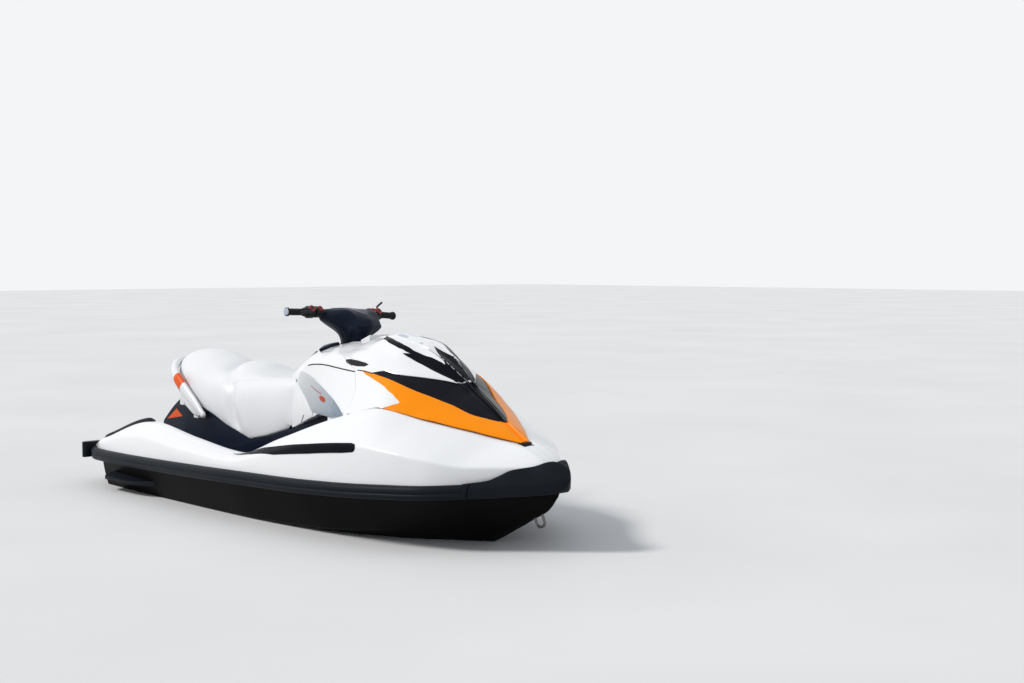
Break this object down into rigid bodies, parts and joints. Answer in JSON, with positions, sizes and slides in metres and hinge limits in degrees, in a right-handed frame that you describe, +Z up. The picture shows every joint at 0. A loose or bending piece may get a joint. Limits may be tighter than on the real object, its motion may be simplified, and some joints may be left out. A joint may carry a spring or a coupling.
{
  "type": "personal watercraft",
  "caption": "Sit-down personal watercraft with a lifting hood, a tilting seat, linked steering, and a water jet with a reverse bucket.",
  "frame": {"origin": "on the waterline, at mid-length and mid-beam", "axes": "+X towards the bow, +Y to port, +Z up"},
  "size_m": [3.368, 1.228, 1.1766],
  "materials": {
    "hull_black": "satin black gelcoat",
    "deck_white": "glossy white gelcoat",
    "cowl_white": "glossy white painted plastic",
    "rail_black": "satin black rubbing strip, scuffed",
    "black_plastic": "moulded, finely grained",
    "navy_plastic": "moulded, dark blue-black",
    "mat_foam": "ribbed foam traction mat",
    "seat_vinyl": "smooth white marine vinyl",
    "white_plastic": "moulded white",
    "silver_trim": "silver-grey paint",
    "gauge_glass": "dark display lens",
    "hood_orange": "glossy orange",
    "insert_black": "satin black",
    "bar_steel": "black coated",
    "grip_rubber": "ribbed rubber",
    "jet_metal": "cast, matt",
    "jet_plastic": "moulded, filled",
    "impeller_steel": "stainless",
    "engine_grey": "cast"
  },
  "bodies": {
    "craft": {"boarding_mat": "mat_foam", "bow_bumper": "rail_black", "bow_eye": "impeller_steel", "console": "cowl_white", "console_fin_left": "silver_trim", "console_fin_right": "silver_trim", "deck": "deck_white", "drain_plugs": "black_plastic", "engine_block": "engine_grey", "footwell_mat_left": "mat_foam", "footwell_mat_right": "mat_foam", "gauge": "gauge_glass", "grab_handle": "white_plastic", "hull": "hull_black", "intake_duct": "jet_plastic", "intake_grate": "jet_metal", "pump_housing": "jet_metal", "pump_venturi": "jet_metal", "ride_plate": "jet_plastic", "seat_pedestal": "navy_plastic", "side_rail_left": "rail_black", "side_rail_right": "rail_black", "sponson_left": "black_plastic", "sponson_right": "black_plastic", "stern_bumper_left": "rail_black", "stern_bumper_right": "rail_black", "stern_eyes": "impeller_steel", "storage_bin": "black_plastic"},
    "steering": {"handlebar": "bar_steel", "handlebar_pad": "navy_plastic", "grip_left": "grip_rubber", "grip_right": "grip_rubber", "switch_pod_left": "black_plastic", "switch_pod_right": "black_plastic", "throttle_lever": "black_plastic", "reverse_lever": "black_plastic"},
    "nozzle": {"steering_nozzle": "jet_plastic"},
    "bucket": {"reverse_bucket": "jet_plastic"},
    "driveline": {"impeller": "impeller_steel", "drive_shaft": "impeller_steel"},
    "hood": {"hood_band": "hood_orange", "hood_insert": "insert_black", "hood_cowl": "cowl_white"},
    "glovebox": {"glovebox_lid": "black_plastic"},
    "seat_lid": {"seat": "seat_vinyl"}
  },
  "joints": [
    {"name": "steering", "type": "hinge", "parent": "craft", "child": "steering", "pos_m": [0.212, 0, 0.85], "axis": [-0.309, 0, 0.9511], "range_deg": [-36, 16]},
    {"name": "nozzle_turn", "type": "hinge", "parent": "craft", "child": "nozzle", "pos_m": [-1.55, 0, -0.01], "axis": [0, 0, 1], "range_deg": [-10.5, 23.5]},
    {"name": "bucket_drop", "type": "hinge", "parent": "craft", "child": "bucket", "pos_m": [-1.55, 0, -0.01], "axis": [0, -1, 0], "range_deg": [0, 75]},
    {"name": "impeller_spin", "type": "hinge", "parent": "craft", "child": "driveline", "pos_m": [-1.34, 0, -0.01], "axis": [1, 0, 0], "continuous": true},
    {"name": "hood_open", "type": "hinge", "parent": "craft", "child": "hood", "pos_m": [1.432, 0, 0.442], "axis": [0, 1, 0], "range_deg": [0, 45]},
    {"name": "glovebox_open", "type": "hinge", "parent": "craft", "child": "glovebox", "pos_m": [-0.04543, 0, 0.78671], "axis": [0, 1, 0], "range_deg": [0, 70]},
    {"name": "seat_lift", "type": "hinge", "parent": "craft", "child": "seat_lid", "pos_m": [-0.024, 0, 0.668], "axis": [0, 1, 0], "range_deg": [0, 50]}
  ],
  "couplings": [
    {"joint": "nozzle_turn", "follows": "steering", "ratio": -0.65}
  ]
}
